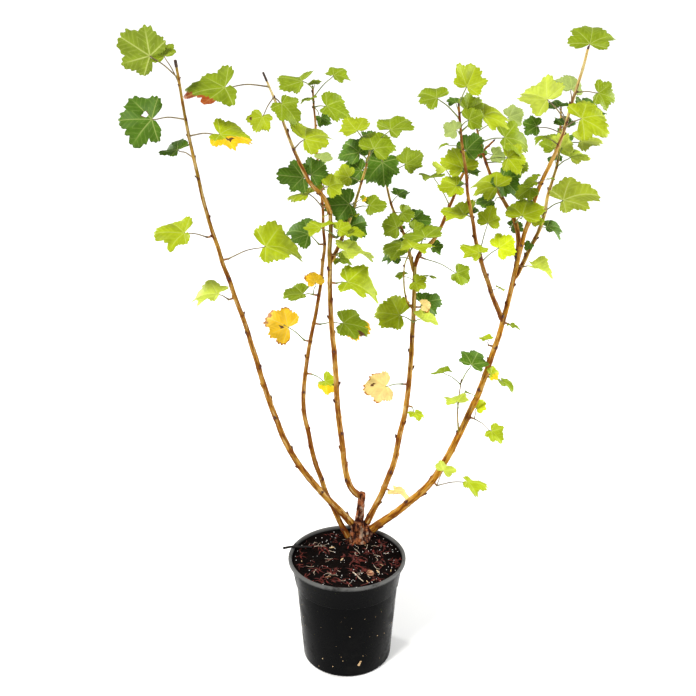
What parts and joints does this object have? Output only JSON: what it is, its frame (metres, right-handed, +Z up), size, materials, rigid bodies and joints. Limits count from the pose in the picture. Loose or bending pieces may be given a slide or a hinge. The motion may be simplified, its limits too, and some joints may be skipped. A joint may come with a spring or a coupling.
{
  "type": "potted jostaberry",
  "caption": "Young jostaberry bush with arching tan canes and lobed leaves, green with some turning yellow, in a glossy black nursery pot of bark compost.",
  "frame": {"origin": "centre of the pot's flat underside", "axes": "+Z up; +X to the right and +Y away as the plant is seen from its widest side, where its canes fan out in the plane of X and Z"},
  "size_m": [0.6918, 0.3958, 1.0205],
  "materials": {
    "black_plastic": "glossy black injection moulded plastic",
    "potting_soil": "rough, moist bark and peat compost",
    "old_bark": "rough dark red-brown bark",
    "tan_bark": "smooth tan bark with dark buds",
    "foliage": "satin leaf, green to yellow"
  },
  "bodies": {
    "root": {"back_cane": "tan_bark", "back_cane_leaves": "foliage", "back_cane_spur_1": "foliage", "back_cane_spur_2": "foliage", "back_cane_spur_3": "foliage", "back_cane_spur_4": "foliage", "back_cane_spur_5": "foliage", "centre_cane": "tan_bark", "centre_cane_spur_1": "foliage", "centre_cane_spur_2": "foliage", "centre_cane_spur_3": "foliage", "centre_left_fork": "tan_bark", "centre_left_fork_leaves": "foliage", "centre_left_fork_spur_1": "foliage", "centre_left_fork_spur_2": "foliage", "centre_left_fork_spur_3": "foliage", "centre_right_fork": "tan_bark", "centre_right_fork_leaves": "foliage", "centre_right_fork_spur_1": "foliage", "cut_stub": "old_bark", "fourth_cane": "tan_bark", "fourth_cane_spur_1": "foliage", "fourth_cane_spur_2": "foliage", "fourth_cane_spur_3": "foliage", "fourth_cane_spur_4": "foliage", "fourth_cane_spur_5": "foliage", "fourth_cane_spur_6": "foliage", "fourth_left_fork_leaves": "foliage", "fourth_right_fork": "tan_bark", "fourth_right_fork_leaves": "foliage", "fourth_right_fork_spur_1": "foliage", "fourth_right_fork_spur_2": "foliage", "left_cane": "tan_bark", "left_cane_leaves": "foliage", "left_cane_spur_1": "foliage", "left_cane_spur_2": "foliage", "left_cane_spur_3": "foliage", "low_shoot_leaves": "foliage", "pot": "black_plastic", "right_cane": "tan_bark", "right_cane_leaves": "foliage", "right_cane_spur_1": "foliage", "right_cane_spur_2": "foliage", "right_cane_spur_3": "foliage", "right_cane_spur_4": "foliage", "right_cane_spur_5": "foliage", "right_cane_spur_6": "foliage", "right_cane_spur_7": "foliage", "right_inner_branch": "tan_bark", "right_inner_branch_leaves": "foliage", "right_left_branch": "tan_bark", "right_left_branch_leaves": "foliage", "right_side_branch": "tan_bark", "right_side_branch_leaves": "foliage", "side_twig_leaves": "foliage", "soil": "potting_soil", "stool": "old_bark"}
  },
  "joints": []
}
